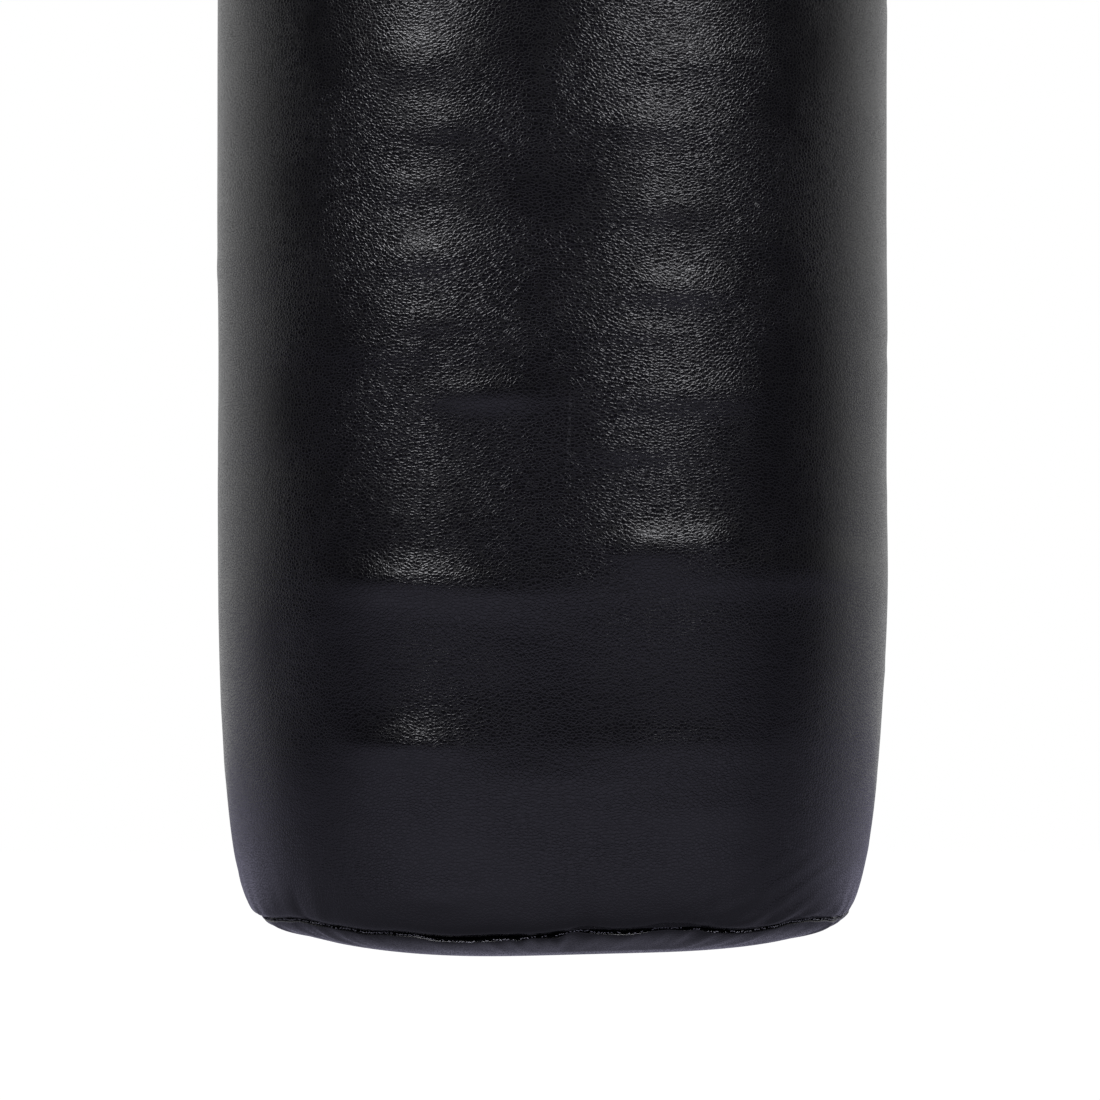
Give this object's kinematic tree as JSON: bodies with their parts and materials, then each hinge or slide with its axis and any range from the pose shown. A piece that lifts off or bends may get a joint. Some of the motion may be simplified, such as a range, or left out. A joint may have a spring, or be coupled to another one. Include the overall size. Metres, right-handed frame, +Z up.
{
  "type": "hanging punching bag",
  "caption": "Hanging heavy punching bag: a pebbled black cylinder on four chains, with a ball-bearing swivel and a spring snap hook.",
  "frame": {"origin": "the seat inside the crown of the top snap hook, where a bar, bracket or eye carries it", "axes": "+Z up along the bag, +X along the zip and towards the hook's gate, +Y to the back, where the side panel is joined"},
  "size_m": [0.35, 0.3519, 1.5542],
  "materials": {
    "side_leather": "pebbled semi-gloss faux leather, dark interior folds",
    "end_leather": "pebbled semi-gloss faux leather",
    "lining_cloth": "plain woven polyester",
    "foam": "soft foam, modelled at the density of textile fill",
    "textile": "pressed textile cuttings",
    "webbing": "woven nylon webbing",
    "rivet_steel": "nickel-plated, lightly brushed",
    "zip_tape": "woven zip tape",
    "zip_nylon": "moulded nylon coil",
    "zip_metal": "gunmetal plated",
    "chain_steel": "zinc-plated",
    "clip_steel": "zinc-plated",
    "hook_steel": "zinc-plated",
    "spring_steel": "plain spring steel",
    "swivel_steel": "zinc-plated forging",
    "bearing_steel": "ground steel"
  },
  "bodies": {
    "hook": {"snap_hook_body": "hook_steel"},
    "hook_gate": {"snap_hook_gate": "hook_steel", "snap_hook_gate_pin": "hook_steel", "snap_hook_gate_spring": "spring_steel"},
    "swivel_head": {"swivel_top_eye": "swivel_steel", "swivel_housing": "swivel_steel", "swivel_bearing_lower_race": "bearing_steel", "swivel_bearing_balls": "bearing_steel"},
    "swivel_shaft": {"swivel_shaft_eye": "swivel_steel", "swivel_nut": "bearing_steel", "swivel_bearing_upper_race": "bearing_steel"},
    "clip_gate_back_right": {"clip_back_right_gate": "clip_steel", "clip_back_right_gate_pin": "clip_steel", "clip_back_right_gate_spring": "spring_steel"},
    "clip_gate_back_left": {"clip_back_left_gate": "clip_steel", "clip_back_left_gate_pin": "clip_steel", "clip_back_left_gate_spring": "spring_steel"},
    "clip_gate_front_left": {"clip_front_left_gate": "clip_steel", "clip_front_left_gate_pin": "clip_steel", "clip_front_left_gate_spring": "spring_steel"},
    "clip_gate_front_right": {"clip_front_right_gate": "clip_steel", "clip_front_right_gate_pin": "clip_steel", "clip_front_right_gate_spring": "spring_steel"},
    "zip_slider": {"zip_slider": "zip_metal"},
    "zip_pull": {"zip_pull": "zip_metal"},
    "bag": {"bottom_pad": "foam", "bottom_panel": "end_leather", "bottom_seam_allowance": "side_leather", "chain_back_left": "chain_steel", "chain_back_right": "chain_steel", "chain_front_left": "chain_steel", "chain_front_right": "chain_steel", "clip_back_left_body": "clip_steel", "clip_back_right_body": "clip_steel", "clip_front_left_body": "clip_steel", "clip_front_right_body": "clip_steel", "d_ring_back_left": "chain_steel", "d_ring_back_right": "chain_steel", "d_ring_front_left": "chain_steel", "d_ring_front_right": "chain_steel", "foam_liner": "foam", "lining": "lining_cloth", "master_ring": "chain_steel", "rivet_washers": "rivet_steel", "side_back_seam": "side_leather", "side_casing": "side_leather", "strap_back_left": "webbing", "strap_back_right": "webbing", "strap_front_left": "webbing", "strap_front_right": "webbing", "strap_rivets": "rivet_steel", "textile_fill": "textile", "top_pad": "foam", "top_panel": "end_leather", "top_seam_allowance": "side_leather", "zip_coils": "zip_nylon", "zip_stops": "zip_metal", "zip_tapes": "zip_tape"}
  },
  "joints": [
    {"name": "hook_gate_hinge", "type": "hinge", "parent": "hook", "child": "hook_gate", "pos_m": [0.02, 0, -0.0584], "axis": [0, -1, 0], "range_deg": [0, 28], "stiffness_Nm_per_rad": 0.2, "springref_deg": -20.05},
    {"name": "swing_sideways", "type": "hinge", "parent": "hook", "child": "swivel_head", "pos_m": [0, 0, -0.085], "axis": [1, 0, 0], "range_deg": [-45, 45]},
    {"name": "swivel_spin", "type": "hinge", "parent": "swivel_head", "child": "swivel_shaft", "pos_m": [0, 0, -0.1847], "axis": [0, 0, 1], "continuous": true},
    {"name": "swing_forward", "type": "hinge", "parent": "swivel_shaft", "child": "bag", "pos_m": [0, 0, -0.1847], "axis": [0, 1, 0], "range_deg": [-45, 45]},
    {"name": "clip_gate_back_right_hinge", "type": "hinge", "parent": "bag", "child": "clip_gate_back_right", "pos_m": [0.07807, 0.0767, -0.44753], "axis": [0.712, -0.702, -0.0124], "range_deg": [0, 22], "stiffness_Nm_per_rad": 0.06, "springref_deg": -20.05},
    {"name": "clip_gate_back_left_hinge", "type": "hinge", "parent": "bag", "child": "clip_gate_back_left", "pos_m": [-0.08037, 0.0766, -0.44642], "axis": [0.7196, 0.6935, 0.0347], "range_deg": [0, 22], "stiffness_Nm_per_rad": 0.06, "springref_deg": -20.05},
    {"name": "clip_gate_front_left_hinge", "type": "hinge", "parent": "bag", "child": "clip_gate_front_left", "pos_m": [-0.07807, -0.0767, -0.44753], "axis": [-0.712, 0.702, -0.0124], "range_deg": [0, 22], "stiffness_Nm_per_rad": 0.06, "springref_deg": -20.05},
    {"name": "clip_gate_front_right_hinge", "type": "hinge", "parent": "bag", "child": "clip_gate_front_right", "pos_m": [0.08037, -0.0766, -0.44642], "axis": [-0.7196, -0.6935, 0.0347], "range_deg": [0, 22], "stiffness_Nm_per_rad": 0.06, "springref_deg": -20.05},
    {"name": "zip_slide", "type": "slide", "parent": "bag", "child": "zip_slider", "axis": [1, 0, 0], "range_m": [0, 0.246]},
    {"name": "zip_pull_hinge", "type": "hinge", "parent": "zip_slider", "child": "zip_pull", "pos_m": [-0.123, 0, -0.51816], "axis": [0, -1, 0], "range_deg": [0, 165]}
  ]
}
